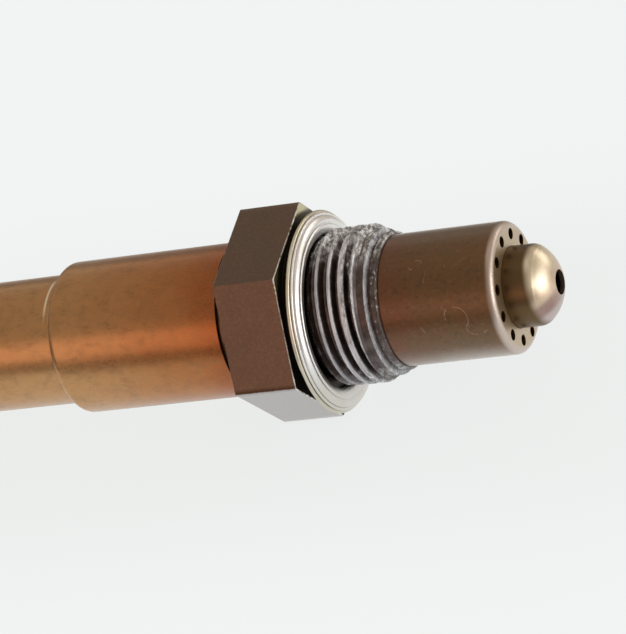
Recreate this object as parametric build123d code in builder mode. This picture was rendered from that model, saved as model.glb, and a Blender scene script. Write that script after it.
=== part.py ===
from build123d import *
from math import asin, cos, degrees, radians, sin, sqrt
import os

# Heated planar oxygen sensor, screwed into an exhaust boss.
# Millimetres. The sensor's axis is X: +X runs to the tip that sits in the
# exhaust gas, -X to the wire end. +Z is square to one flat of the hexagon.
# X = 0 is the front face of the sealing ring, which meets the boss.

# ---------------------------------------------------------------- fits
FIT = 0.05                     # radial clearance of a ceramic in its bore
SLOT_FIT = 0.06                # clearance each side of the element in a slot

# ---------------------------------------------------------------- sealing ring
RING_SHEET = 0.30              # sheet that the ring is folded from
RING_FOLD_PITCH = 0.475        # from one folded layer's middle to the next
RING_OUTER_RADIUS = 11.65
RING_FRONT_RADIUS = 11.47      # outer edge of the front layer's curl
RING_INNER_RADIUS = 8.76
RING_CREASE_RADIUS = 10.06
RING_CREASE = 0.12             # width and depth of the crease in the front layer

# ---------------------------------------------------------------- shell
HEX_ACROSS_FLATS = 22.0
HEX_LENGTH = 7.6
WASHER_FACE_DIAMETER = 20.6
WASHER_FACE_HEIGHT = 0.9
NECK_DIAMETER = 16.6           # undercut that the sealing ring turns on
THREAD_DIAMETER = 18.0         # M18 x 1.5, over the crests
THREAD_LENGTH = 5.0            # full form
THREAD_RUNOUT = 0.25           # from the ring's front face to the full diameter
THREAD_PITCH = 1.5
THREAD_DEPTH = 0.92
GROOVE_START = 0.375           # middle of the groove's first turn, over the upper flat
LEAD_IN = 0.55                 # cone from the thread down to the plain land
LAND_DIAMETER = 16.7
LAND_LENGTH = 1.1
LIP_DIAMETER = 15.8            # lip rolled onto the protection tube
LIP_LENGTH = 1.75
LIP_ROUND = 0.25
COLLAR_DIAMETER = 16.9         # turned collar between the hexagon and the sleeve
COLLAR_LENGTH = 1.65
BORE_DIAMETER = 12.0
THROAT_DIAMETER = 8.9
SEAT_TO_LIP = 7.1              # from the lip's end back to the foot of the cone seat
RIM_DIAMETER = 10.4            # opening in the rim, closed over the disc spring
RIM_THICKNESS = 1.1

# ---------------------------------------------------------------- protection tubes
TUBE_DIAMETER = 15.0
TUBE_WALL = 0.50
TUBE_SOCKET = 2.5              # how deep the tubes sit in the shell
TUBE_REACH = 13.2              # from the lip to the outer tube's end face
TUBE_EDGE = 0.85               # outside radius round the end face
PORT_DIAMETER = 1.3
PORT_COUNT = 12
PORT_CIRCLE_RADIUS = 5.963
PORT_PHASE = 10.95             # degrees from +Z to the first port, towards +Y
BOSS_DIAMETER = 9.24           # inner tube, where it comes through the end face
BOSS_FIT = 0.04
BOSS_REACH = 2.32              # straight wall in front of the end face
DOME_SHOULDER = 1.6            # outside radius from the wall into the crown
DOME_RADIUS = 5.55             # outside radius of the crown
OUTLET_DIAMETER = 2.84
CHAMBER_DIAMETER = 11.4        # inner tube's wide part, behind its taper
CHAMBER_LENGTH = 6.0
TAPER_LENGTH = 2.5
INLET_DIAMETER = 1.5
INLET_COUNT = 8

# ---------------------------------------------------------------- element and its ceramics
ELEMENT_WIDTH = 4.2
ELEMENT_THICKNESS = 1.35
TIP_GAP = 4.2                  # from the element's tip to the start of the dome
FRONT_INSULATOR_LENGTH = 8.6
NOSE_GAP = 0.5                 # from the front insulator to the inner tube's flange
REAR_INSULATOR_BODY = 6.4
REAR_INSULATOR_NECK = 5.6
REAR_NECK_DIAMETER = 9.2
SHOULDER_DEPTH = 2.0           # from the collar back to the rear insulator's shoulder
SPRING_SHEET = 0.40
SPRING_RISE = 0.50

# ---------------------------------------------------------------- rear sleeve
SLEEVE_DIAMETER = 17.76
SLEEVE_WALL = 0.70
SLEEVE_LENGTH = 21.95          # front end to the shoulder
SHOULDER_BEND = 0.60           # bend radius at the middle of the wall
REAR_DIAMETER = 15.2
REAR_LENGTH = 22.6
CRIMP_DEPTH = 0.40
CRIMP_WIDTH = 2.6
CRIMP_PITCH = 3.6
CRIMP_COUNT = 2
CRIMP_END = 3.4                # from the sleeve's rear end to the last crimp

# ---------------------------------------------------------------- contacts, holder, grommet
HOLDER_DIAMETER = 11.2
HOLDER_LENGTH = 16.5
HOLDER_SPLIT = 0.10            # gap between the two halves
HOLDER_WALL = 1.5              # ceramic in front of the contact slots
ELEMENT_INSET = 2.0            # from the holder's rear face to the element's end
CONTACT_SHEET = 0.25
CONTACT_WIDTH = 0.8
CONTACT_SLOT_FIT = 0.10
CONTACT_RUN = 2.2              # height of a contact's straight run above the axis
CONTACT_SLOT_TOP = 3.1
UPPER_PITCH = 1.4              # three contacts on the element's upper face
LOWER_PITCH = 1.9              # two on its lower face
FAN_LENGTH = 3.5               # behind the holder, out to the crimp barrels
BARREL_DIAMETER = 2.0
BARREL_WALL = 0.3
BARREL_LENGTH = 4.0
BARREL_SEAM = 0.3
CLAMP_SHEET = 0.40
CLAMP_WIDTH = 6.0
CLAMP_OPENING = 24.0           # degrees left open in the hoop
LEAF_COUNT = 4
LEAF_WIDTH = 2.4
LEAF_SEAT_GAP = 0.08           # from a leaf's crest to the sleeve
WIRE_HOLE_DIAMETER = 2.2
WIRE_CIRCLE_RADIUS = 3.6
GUIDE_THICKNESS = 2.2
GUIDE_GAP = 0.4                # from the crimp barrels to the wire guide
GROMMET_FIT = 0.03
GROMMET_COLLAR = 1.2           # stands out behind the sleeve
GROMMET_COLLAR_EDGE = 0.5

# ---------------------------------------------------------------- stations along X
ring_back = -(2 * RING_FOLD_PITCH + RING_SHEET)
hex_front = ring_back - WASHER_FACE_HEIGHT
hex_back = hex_front - HEX_LENGTH
collar_back = hex_back - COLLAR_LENGTH
thread_start = THREAD_RUNOUT
thread_end = thread_start + THREAD_LENGTH
land_back = thread_end + LEAD_IN
lip_back = land_back + LAND_LENGTH
lip_front = lip_back + LIP_LENGTH
socket = lip_front - TUBE_SOCKET
socket_radius = (TUBE_DIAMETER + FIT) / 2
seat_foot = lip_front - SEAT_TO_LIP
seat_top = seat_foot - (BORE_DIAMETER - THROAT_DIAMETER) / 2
end_face = lip_front + TUBE_REACH
dome_start = end_face + BOSS_REACH
tip = dome_start - TIP_GAP
nose_front = socket - NOSE_GAP
powder_front = nose_front - FRONT_INSULATOR_LENGTH
shoulder = collar_back - SHOULDER_DEPTH
powder_back = shoulder + REAR_INSULATOR_BODY
rim_face = shoulder - SPRING_SHEET - SPRING_RISE
shell_back = rim_face - RIM_THICKNESS
holder_front = shoulder - REAR_INSULATOR_NECK
holder_back = holder_front - HOLDER_LENGTH
element_back = holder_back + ELEMENT_INSET
barrel_front = holder_back - FAN_LENGTH
barrel_back = barrel_front - BARREL_LENGTH
guide_front = barrel_back - GUIDE_GAP
guide_back = guide_front - GUIDE_THICKNESS
step_x = collar_back - SLEEVE_LENGTH
sleeve_back = step_x - REAR_LENGTH
rear_bore = REAR_DIAMETER / 2 - SLEEVE_WALL
sleeve_bore = SLEEVE_DIAMETER / 2 - SLEEVE_WALL

# five wires on one circle: three over the element, two under it
wire_angles = [162, 90, 18, 234, 306]
wires = [
    (WIRE_CIRCLE_RADIUS * cos(radians(a)), WIRE_CIRCLE_RADIUS * sin(radians(a)))
    for a in wire_angles
]
pads = [(-UPPER_PITCH, 1), (0, 1), (UPPER_PITCH, 1), (-LOWER_PITCH / 2, -1), (LOWER_PITCH / 2, -1)]

os.makedirs("parts", exist_ok=True)


def keep(part, name):
    part.label = name
    export_step(part, f"parts/{name}.step")


def element_slot(front, back):
    """Cut the element's slot between two stations of the part being built."""
    width, depth = ELEMENT_WIDTH + 2 * SLOT_FIT, ELEMENT_THICKNESS + 2 * SLOT_FIT
    with Locations(((front + back) / 2, 0, 0)):
        Box(front - back, width, depth, mode=Mode.SUBTRACT)


# ---------------------------------------------------------------- hex shell
mouth = THREAD_PITCH * 7 / 8   # groove's width at the crests, and at its root
root = THREAD_PITCH / 4
with BuildPart() as hex_shell:
    with BuildSketch(Plane.XY):
        with BuildLine():
            Polyline(
                # outside, from the closed rim to the rolled lip
                (shell_back, RIM_DIAMETER / 2 + RIM_THICKNESS / 2),
                (shell_back, sleeve_bore - FIT),
                (collar_back, sleeve_bore - FIT),
                (collar_back, COLLAR_DIAMETER / 2),
                (hex_front, COLLAR_DIAMETER / 2),
                (hex_front, WASHER_FACE_DIAMETER / 2),
                (ring_back, WASHER_FACE_DIAMETER / 2),
                (ring_back, NECK_DIAMETER / 2),
                (thread_start - (THREAD_DIAMETER - NECK_DIAMETER) / 4, NECK_DIAMETER / 2),
                (thread_start, THREAD_DIAMETER / 2),
                (thread_end, THREAD_DIAMETER / 2),
                (land_back, LAND_DIAMETER / 2),
                (lip_back, LAND_DIAMETER / 2),
                (lip_back, LIP_DIAMETER / 2),
                (lip_front, LIP_DIAMETER / 2),
                # stepped bore: the tubes' socket, throat, cone seat and powder bore
                (lip_front, socket_radius),
                (socket, socket_radius),
                (socket, THROAT_DIAMETER / 2),
                (seat_foot, THROAT_DIAMETER / 2),
                (seat_top, BORE_DIAMETER / 2),
                (rim_face, BORE_DIAMETER / 2),
                (rim_face, RIM_DIAMETER / 2),
                (rim_face - RIM_THICKNESS / 2, RIM_DIAMETER / 2),
                close=True,
            )
        make_face()
    revolve(axis=Axis.X)
    with BuildSketch(Plane.YZ.offset(hex_back)):
        RegularPolygon(HEX_ACROSS_FLATS / 2, 6, major_radius=False)
        Circle((COLLAR_DIAMETER + BORE_DIAMETER) / 4, mode=Mode.SUBTRACT)
    extrude(amount=HEX_LENGTH)
    lip_edges = hex_shell.edges().filter_by(GeomType.CIRCLE).group_by(Axis.X)[-1]
    fillet(lip_edges.sort_by(SortBy.RADIUS)[-1], LIP_ROUND)
    # one V groove wound to the right, run out in the lead-in cone
    with BuildLine() as winding:
        Helix(
            pitch=THREAD_PITCH,
            height=thread_end + LEAD_IN / 2 - GROOVE_START,
            radius=THREAD_DIAMETER / 2,
            center=(GROOVE_START, 0, 0),
            direction=(1, 0, 0),
        )
    with BuildSketch(Plane(origin=winding.line @ 0, x_dir=(1, 0, 0), z_dir=(0, -1, 0))):
        with BuildLine():
            Polyline(
                (-mouth / 2, LIP_ROUND),
                (-mouth / 2, 0),
                (-root / 2, -THREAD_DEPTH),
                (root / 2, -THREAD_DEPTH),
                (mouth / 2, 0),
                (mouth / 2, LIP_ROUND),
                close=True,
            )
        make_face()
    sweep(path=winding.line, is_frenet=True, mode=Mode.SUBTRACT)
keep(hex_shell.part, "hex_shell")

# ---------------------------------------------------------------- folded sealing ring
half = RING_SHEET / 2
fold = RING_FOLD_PITCH / 2
rear_x = ring_back + half
middle_x = rear_x + RING_FOLD_PITCH
front_x = -half
outer_fold = RING_OUTER_RADIUS - half - fold
inner_fold = RING_INNER_RADIUS + half + fold
curl = RING_FOLD_PITCH - RING_SHEET + RING_CREASE / 2
with BuildPart() as sealing_ring:
    with BuildSketch(Plane.XY):
        with BuildLine():
            Line((rear_x, inner_fold + RING_SHEET), (rear_x, outer_fold))
            ThreePointArc(
                (rear_x, outer_fold), (rear_x + fold, outer_fold + fold), (middle_x, outer_fold)
            )
            Line((middle_x, outer_fold), (middle_x, inner_fold))
            ThreePointArc(
                (middle_x, inner_fold), (middle_x + fold, inner_fold - fold), (front_x, inner_fold)
            )
            front_layer = Line((front_x, inner_fold), (front_x, RING_FRONT_RADIUS - half - curl))
            JernArc(front_layer @ 1, (0, 1), curl, 80)
        trace(line_width=RING_SHEET)
    revolve(axis=Axis.X)
    with BuildSketch(Plane.XY):
        with Locations((0, RING_CREASE_RADIUS)):
            Circle(RING_CREASE)
    revolve(axis=Axis.X, mode=Mode.SUBTRACT)
keep(sealing_ring.part, "sealing_ring")

# ---------------------------------------------------------------- outer protection tube
with BuildPart() as outer_protection_tube:
    with BuildSketch(Plane.XY):
        with BuildLine():
            middle = (TUBE_DIAMETER - TUBE_WALL) / 2
            FilletPolyline(
                (socket + TUBE_WALL, middle),
                (end_face - TUBE_WALL / 2, middle),
                (end_face - TUBE_WALL / 2, BOSS_DIAMETER / 2 + BOSS_FIT),
                radius=TUBE_EDGE - TUBE_WALL / 2,
            )
        trace(line_width=TUBE_WALL)
    revolve(axis=Axis.X)
    with BuildSketch(Plane.YZ.offset(end_face)):
        with PolarLocations(PORT_CIRCLE_RADIUS, PORT_COUNT, start_angle=90 - PORT_PHASE):
            Circle(PORT_DIAMETER / 2)
    extrude(amount=-2 * TUBE_WALL, mode=Mode.SUBTRACT)
keep(outer_protection_tube.part, "outer_protection_tube")

# ---------------------------------------------------------------- inner protection tube
boss_middle = (BOSS_DIAMETER - TUBE_WALL) / 2
chamber_middle = (CHAMBER_DIAMETER - TUBE_WALL) / 2
chamber_front = socket + TUBE_WALL / 2 + CHAMBER_LENGTH
crown_angle = degrees(asin((BOSS_DIAMETER / 2 - DOME_SHOULDER) / (DOME_RADIUS - DOME_SHOULDER)))
outlet_angle = degrees(asin(OUTLET_DIAMETER / 2 / DOME_RADIUS))
with BuildPart() as inner_protection_tube:
    with BuildSketch(Plane.XY):
        with BuildLine():
            wall = FilletPolyline(
                (socket + TUBE_WALL / 2, TUBE_DIAMETER / 2 - FIT),
                (socket + TUBE_WALL / 2, chamber_middle),
                (chamber_front, chamber_middle),
                (chamber_front + TAPER_LENGTH, boss_middle),
                (dome_start, boss_middle),
                radius=TUBE_WALL,
            )
            bend = JernArc(wall @ 1, (1, 0), DOME_SHOULDER - TUBE_WALL / 2, crown_angle - 90)
            JernArc(
                bend @ 1, bend % 1, DOME_RADIUS - TUBE_WALL / 2, outlet_angle / 2 - crown_angle
            )
        trace(line_width=TUBE_WALL)
    revolve(axis=Axis.X)
    with BuildSketch(Plane.YZ.offset(dome_start)):
        Circle(OUTLET_DIAMETER / 2)
    extrude(amount=DOME_RADIUS, mode=Mode.SUBTRACT)
    with Locations(Plane.YZ.offset(socket + TUBE_WALL + CHAMBER_LENGTH / 2).location):
        with PolarLocations(chamber_middle, INLET_COUNT):
            Cylinder(INLET_DIAMETER / 2, 4 * TUBE_WALL, rotation=(0, 90, 0), mode=Mode.SUBTRACT)
keep(inner_protection_tube.part, "inner_protection_tube")

# ---------------------------------------------------------------- sensor element
with BuildPart() as sensor_element:
    with BuildSketch(Plane.YZ.offset(element_back)):
        Rectangle(ELEMENT_WIDTH, ELEMENT_THICKNESS)
    extrude(amount=tip - element_back)
    chamfer(sensor_element.faces().sort_by(Axis.X)[-1].edges(), 0.2)
keep(sensor_element.part, "sensor_element")

# ---------------------------------------------------------------- front insulator
seat_gap = FIT / 2
with BuildPart() as front_insulator:
    with BuildSketch(Plane.XY):
        with BuildLine():
            Polyline(
                (powder_front, 0),
                (powder_front, BORE_DIAMETER / 2 - FIT),
                (seat_top - seat_gap + FIT, BORE_DIAMETER / 2 - FIT),
                (seat_foot - seat_gap + FIT, THROAT_DIAMETER / 2 - FIT),
                (nose_front, THROAT_DIAMETER / 2 - FIT),
                (nose_front, 0),
                close=True,
            )
        make_face()
    revolve(axis=Axis.X)
    chamfer(front_insulator.edges().filter_by(GeomType.CIRCLE).group_by(Axis.X)[-1], 0.4)
    element_slot(nose_front, powder_front)
keep(front_insulator.part, "front_insulator")

# ---------------------------------------------------------------- pressed powder seal
with BuildPart() as seal_pack:
    with BuildSketch(Plane.YZ.offset(powder_back)):
        Circle(BORE_DIAMETER / 2 - FIT)
    extrude(amount=powder_front - powder_back)
    element_slot(powder_front, powder_back)
keep(seal_pack.part, "seal_pack")

# ---------------------------------------------------------------- rear insulator
with BuildPart() as rear_insulator:
    with BuildSketch(Plane.YZ.offset(shoulder)):
        Circle(BORE_DIAMETER / 2 - FIT)
    extrude(amount=REAR_INSULATOR_BODY)
    with BuildSketch(Plane.YZ.offset(holder_front)):
        Circle(REAR_NECK_DIAMETER / 2)
    extrude(amount=REAR_INSULATOR_NECK)
    chamfer(rear_insulator.edges().filter_by(GeomType.CIRCLE).group_by(Axis.X)[0], 0.4)
    element_slot(powder_back, holder_front)
keep(rear_insulator.part, "rear_insulator")

# ---------------------------------------------------------------- disc spring
with BuildPart() as disc_spring:
    with BuildSketch(Plane.XY):
        inner = REAR_NECK_DIAMETER / 2 + 2 * FIT
        outer = BORE_DIAMETER / 2 - 2 * FIT
        with BuildLine():
            Polyline(
                (shoulder, inner),
                (shoulder - SPRING_SHEET, inner),
                (rim_face, outer),
                (rim_face + SPRING_SHEET, outer),
                close=True,
            )
        make_face()
    revolve(axis=Axis.X)
keep(disc_spring.part, "disc_spring")

# ---------------------------------------------------------------- rear sleeve
sleeve_middle = (SLEEVE_DIAMETER - SLEEVE_WALL) / 2
rear_middle = (REAR_DIAMETER - SLEEVE_WALL) / 2
step_middle = step_x + SLEEVE_WALL / 2
crimps = [sleeve_back + CRIMP_END + k * CRIMP_PITCH for k in range(CRIMP_COUNT)]
with BuildPart() as rear_sleeve:
    with BuildSketch(Plane.XY):
        with BuildLine():
            FilletPolyline(
                (collar_back, sleeve_middle),
                (step_middle, sleeve_middle),
                (step_middle, rear_middle),
                (crimps[-1] + CRIMP_WIDTH / 2, rear_middle),
                radius=SHOULDER_BEND,
            )
            for x in crimps:
                ThreePointArc(
                    (x + CRIMP_WIDTH / 2, rear_middle),
                    (x, rear_middle - CRIMP_DEPTH),
                    (x - CRIMP_WIDTH / 2, rear_middle),
                )
            for x, behind in zip(crimps[1:], crimps):
                Line((x - CRIMP_WIDTH / 2, rear_middle), (behind + CRIMP_WIDTH / 2, rear_middle))
            Line((crimps[0] - CRIMP_WIDTH / 2, rear_middle), (sleeve_back, rear_middle))
        trace(line_width=SLEEVE_WALL)
    revolve(axis=Axis.X)
keep(rear_sleeve.part, "rear_sleeve")

# ---------------------------------------------------------------- split contact holder
def holder_half(side):
    """One ceramic half, open to the element and to its contacts."""
    with BuildPart() as half_holder:
        with BuildSketch(Plane.YZ.offset(holder_back)):
            Circle(HOLDER_DIAMETER / 2)
            with Locations((0, -side * (HOLDER_DIAMETER / 2 - HOLDER_SPLIT / 2))):
                Rectangle(2 * HOLDER_DIAMETER, HOLDER_DIAMETER, mode=Mode.SUBTRACT)
        extrude(amount=HOLDER_LENGTH)
        element_slot(holder_front, element_back - SLOT_FIT)
        with BuildSketch(Plane.YZ.offset(holder_back)):
            for y, pad_side in pads:
                if pad_side == side:
                    with Locations((y, side * CONTACT_SLOT_TOP / 2)):
                        Rectangle(CONTACT_WIDTH + 2 * CONTACT_SLOT_FIT, CONTACT_SLOT_TOP)
        extrude(amount=HOLDER_LENGTH - HOLDER_WALL, mode=Mode.SUBTRACT)
    return half_holder.part


keep(holder_half(1), "contact_holder_upper")
keep(holder_half(-1), "contact_holder_lower")


# ---------------------------------------------------------------- spring contacts
def contact(pad, side, wire_y, wire_z):
    """Sprung strip from the element's pad back to a crimp barrel."""
    slot_front = holder_front - HOLDER_WALL
    touch = ELEMENT_THICKNESS / 2 + CONTACT_SHEET / 2 + SLOT_FIT / 3
    barrel_middle = (BARREL_DIAMETER - BARREL_WALL) / 2
    tail = side * wire_z - barrel_middle
    tail_end = barrel_front - BARREL_LENGTH / 3
    with BuildPart() as strip:
        with BuildSketch(Plane.XZ):
            with BuildLine():
                FilletPolyline(
                    (slot_front - 0.4, side * (touch + 0.9)),
                    (slot_front - 2.6, side * touch),
                    (slot_front - 4.4, side * touch),
                    (slot_front - 7.6, side * CONTACT_RUN),
                    (holder_back, side * CONTACT_RUN),
                    (barrel_front + 0.4, side * tail),
                    (tail_end, side * tail),
                    radius=0.5,
                )
            trace(line_width=CONTACT_SHEET)
        extrude(amount=2 * WIRE_CIRCLE_RADIUS, both=True)
        left = [
            (slot_front, pad - CONTACT_WIDTH / 2),
            (holder_back - 0.4, pad - CONTACT_WIDTH / 2),
            (barrel_front + 0.6, wire_y - CONTACT_WIDTH / 2),
            (barrel_back, wire_y - CONTACT_WIDTH / 2),
        ]
        right = [(x, y + CONTACT_WIDTH) for x, y in reversed(left)]
        with BuildSketch(Plane.XY):
            with BuildLine():
                Polyline(*left, *right, close=True)
            make_face()
        extrude(amount=2 * WIRE_CIRCLE_RADIUS, both=True, mode=Mode.INTERSECT)
        with BuildSketch(Plane.YZ.offset(barrel_back)):
            with Locations((wire_y, wire_z)):
                Circle(BARREL_DIAMETER / 2)
                Circle(BARREL_DIAMETER / 2 - BARREL_WALL, mode=Mode.SUBTRACT)
            with Locations((wire_y, wire_z + side * BARREL_DIAMETER / 2)):
                Rectangle(BARREL_SEAM, BARREL_DIAMETER, mode=Mode.SUBTRACT)
        extrude(amount=BARREL_LENGTH)
    return strip.part


for number, ((pad, side), (wire_y, wire_z)) in enumerate(zip(pads, wires), start=1):
    keep(contact(pad, side, wire_y, wire_z), f"contact_{number}")

# ---------------------------------------------------------------- clamp spring round the holder
clamp_radius = HOLDER_DIAMETER / 2 + FIT
clamp_middle = (holder_front + holder_back) / 2
leaf_crest = sqrt((sleeve_bore - LEAF_SEAT_GAP) ** 2 - (LEAF_WIDTH / 2) ** 2) - CLAMP_SHEET / 2
leaf_foot = clamp_radius + CLAMP_SHEET / 2
with BuildPart() as clamp_spring:
    with BuildSketch(Plane.YZ.offset(clamp_middle - CLAMP_WIDTH / 2)):
        Circle(clamp_radius + CLAMP_SHEET)
        Circle(clamp_radius, mode=Mode.SUBTRACT)
        with BuildLine():
            reach = 2 * HOLDER_DIAMETER
            Polyline(
                (0, 0),
                (reach * cos(radians(CLAMP_OPENING / 2)), reach * sin(radians(CLAMP_OPENING / 2))),
                (reach * cos(radians(CLAMP_OPENING / 2)), -reach * sin(radians(CLAMP_OPENING / 2))),
                close=True,
            )
        make_face(mode=Mode.SUBTRACT)
    extrude(amount=CLAMP_WIDTH)
    for k in range(LEAF_COUNT):
        turn = 45 + k * 360 / LEAF_COUNT
        with BuildSketch(Plane.XZ.rotated((turn, 0, 0))):
            with BuildLine():
                ThreePointArc(
                    (clamp_middle - CLAMP_WIDTH / 2 + CLAMP_SHEET / 2, leaf_foot),
                    (clamp_middle, leaf_crest),
                    (clamp_middle + CLAMP_WIDTH / 2 - CLAMP_SHEET / 2, leaf_foot),
                )
            trace(line_width=CLAMP_SHEET)
        extrude(amount=LEAF_WIDTH / 2, both=True)
    with BuildSketch(Plane.YZ.offset(clamp_middle - CLAMP_WIDTH)):
        Circle(clamp_radius)
    extrude(amount=2 * CLAMP_WIDTH, mode=Mode.SUBTRACT)
keep(clamp_spring.part, "clamp_spring")

# ---------------------------------------------------------------- wire guide and grommet
with BuildPart() as wire_guide:
    with BuildSketch(Plane.YZ.offset(guide_back)):
        Circle(rear_bore - FIT)
        with Locations(*wires):
            Circle(WIRE_HOLE_DIAMETER / 2, mode=Mode.SUBTRACT)
    extrude(amount=GUIDE_THICKNESS)
keep(wire_guide.part, "wire_guide")

with BuildPart() as grommet:
    with BuildSketch(Plane.YZ.offset(sleeve_back)):
        Circle(rear_bore - GROMMET_FIT)
    extrude(amount=guide_back - sleeve_back)
    with BuildSketch(Plane.YZ.offset(sleeve_back)):
        Circle(REAR_DIAMETER / 2 - SLEEVE_WALL / 2)
    extrude(amount=-GROMMET_COLLAR)
    fillet(
        grommet.edges().filter_by(GeomType.CIRCLE).group_by(Axis.X)[0], GROMMET_COLLAR_EDGE
    )
    with BuildSketch(Plane.YZ.offset(sleeve_back - GROMMET_COLLAR)):
        with Locations(*wires):
            Circle(WIRE_HOLE_DIAMETER / 2)
    extrude(amount=guide_back - sleeve_back + GROMMET_COLLAR, mode=Mode.SUBTRACT)
    add(rear_sleeve.part, mode=Mode.SUBTRACT)
keep(grommet.part, "grommet")
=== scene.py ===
from math import cos, pi, radians, sin

import bmesh
import bpy
from mathutils import Matrix, Vector


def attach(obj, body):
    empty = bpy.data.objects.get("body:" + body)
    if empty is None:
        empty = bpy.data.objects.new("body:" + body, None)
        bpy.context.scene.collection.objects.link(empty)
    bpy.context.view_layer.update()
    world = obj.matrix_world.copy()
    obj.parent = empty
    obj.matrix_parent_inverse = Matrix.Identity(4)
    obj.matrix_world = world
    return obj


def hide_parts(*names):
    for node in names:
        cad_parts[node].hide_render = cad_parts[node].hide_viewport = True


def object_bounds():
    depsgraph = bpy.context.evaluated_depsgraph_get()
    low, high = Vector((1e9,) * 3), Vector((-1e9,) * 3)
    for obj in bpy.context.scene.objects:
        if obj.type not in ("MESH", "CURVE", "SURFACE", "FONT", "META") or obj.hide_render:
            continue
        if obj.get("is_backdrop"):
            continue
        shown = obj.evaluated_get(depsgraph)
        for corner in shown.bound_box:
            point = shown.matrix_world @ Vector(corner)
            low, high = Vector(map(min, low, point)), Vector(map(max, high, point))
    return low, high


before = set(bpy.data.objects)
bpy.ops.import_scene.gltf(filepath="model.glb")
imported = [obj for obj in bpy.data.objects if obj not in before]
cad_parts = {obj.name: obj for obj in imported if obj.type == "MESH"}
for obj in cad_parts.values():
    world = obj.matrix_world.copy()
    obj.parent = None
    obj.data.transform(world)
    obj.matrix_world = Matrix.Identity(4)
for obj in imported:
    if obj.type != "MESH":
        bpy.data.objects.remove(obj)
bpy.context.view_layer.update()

bl_info = {
    "name": "Oxygen Sensor",
    "version": (1, 0, 0),
    "blender": (4, 5, 0),
    "location": "View3D > Sidebar > Oxygen Sensor",
    "description": "Builds the threaded shell and the finishes of an exhaust oxygen sensor",
    "category": "Object",
}

MM = 0.001
LOW_SIDE = (0.0, -0.705, -0.709)  # where the loose ring hangs, and the side on which it is darker and greyer
LIP_ROUND = 0.26  # how far in the lip's end is rounded, in millimetres


# ------------------------------------------------------------------ settings
class ShellSizes(bpy.types.PropertyGroup):
    """Sizes of the hexagon, the thread and the ring"""

    across_flats: bpy.props.FloatProperty(
        name="Across flats", description="Spanner size of the hexagon",
        default=22.0 * MM, unit="LENGTH")
    hexagon_back: bpy.props.FloatProperty(
        name="Hexagon back", description="Rear face of the hexagon along the sensor",
        default=-9.75 * MM, unit="LENGTH")
    hexagon_front: bpy.props.FloatProperty(
        name="Hexagon front", description="Front face of the hexagon along the sensor",
        default=-2.15 * MM, unit="LENGTH")
    edge_break: bpy.props.FloatProperty(
        name="Edge break", description="Width of the worn edge round the hexagon",
        default=0.11 * MM, unit="LENGTH")
    thread_diameter: bpy.props.FloatProperty(
        name="Thread diameter", description="Over the crests",
        default=18.0 * MM, unit="LENGTH")
    pitch: bpy.props.FloatProperty(
        name="Pitch", description="From one crest to the next",
        default=1.5 * MM, unit="LENGTH")
    thread_depth: bpy.props.FloatProperty(
        name="Thread depth", description="From crest to root",
        default=0.90 * MM, unit="LENGTH")
    neck_diameter: bpy.props.FloatProperty(
        name="Neck diameter", description="Undercut that the sealing ring turns on",
        default=16.6 * MM, unit="LENGTH")
    ring_play: bpy.props.FloatProperty(
        name="Ring play", description="How far the loose ring hangs below the axis",
        default=0.33 * MM, unit="LENGTH")
    burrs: bpy.props.FloatProperty(
        name="Burrs", description="Roughness of the crests and of the rolled lip",
        default=0.05 * MM, unit="LENGTH")
    paste: bpy.props.FloatProperty(
        name="Paste", description="Share of the grooves that assembly paste fills",
        default=0.5, min=0.0, max=1.0, subtype="FACTOR")


class FinishColours(bpy.types.PropertyGroup):
    """Colours of the metals and of the rubber"""

    sleeve_brass: bpy.props.FloatVectorProperty(
        name="Sleeve, cool end", description="Colour of the sleeve at the wires",
        default=(0.50, 0.265, 0.108), subtype="COLOR", min=0.0, max=1.0)
    sleeve_copper: bpy.props.FloatVectorProperty(
        name="Sleeve, hot end", description="Heat colour of the sleeve at the hexagon",
        default=(0.41, 0.143, 0.038), subtype="COLOR", min=0.0, max=1.0)
    shell_steel: bpy.props.FloatVectorProperty(
        name="Hexagon", description="Darkened steel of the hexagon",
        default=(0.090, 0.033, 0.008), subtype="COLOR", min=0.0, max=1.0)
    ring_steel: bpy.props.FloatVectorProperty(
        name="Sealing ring", description="Bright steel of the folded ring",
        default=(0.90, 0.88, 0.88), subtype="COLOR", min=0.0, max=1.0)
    tube_bronze: bpy.props.FloatVectorProperty(
        name="Protection tube", description="Heat-browned steel of the outer tube",
        default=(0.138, 0.058, 0.010), subtype="COLOR", min=0.0, max=1.0)
    dome_gold: bpy.props.FloatVectorProperty(
        name="Dome", description="Straw-coloured steel of the inner tube",
        default=(0.62, 0.48, 0.35), subtype="COLOR", min=0.0, max=1.0)
    rubber: bpy.props.FloatVectorProperty(
        name="Grommet", description="Heat-proof rubber of the wire grommet",
        default=(0.030, 0.029, 0.028), subtype="COLOR", min=0.0, max=1.0)


class StageSettings(bpy.types.PropertyGroup):
    """Floor, shadow and room light"""

    floor_colour: bpy.props.FloatVectorProperty(
        name="Floor", description="Colour of the pale floor",
        default=(0.878, 0.903, 0.895), subtype="COLOR", min=0.0, max=1.0)
    shadow: bpy.props.FloatProperty(
        name="Shadow", description="How much of the shadow shows on the floor",
        default=0.10, min=0.0, max=1.0, subtype="FACTOR")
    room: bpy.props.FloatVectorProperty(
        name="Room", description="Light of the studio around the lamps",
        default=(0.50, 0.44, 0.37), subtype="COLOR", min=0.0, max=1.0)


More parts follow.
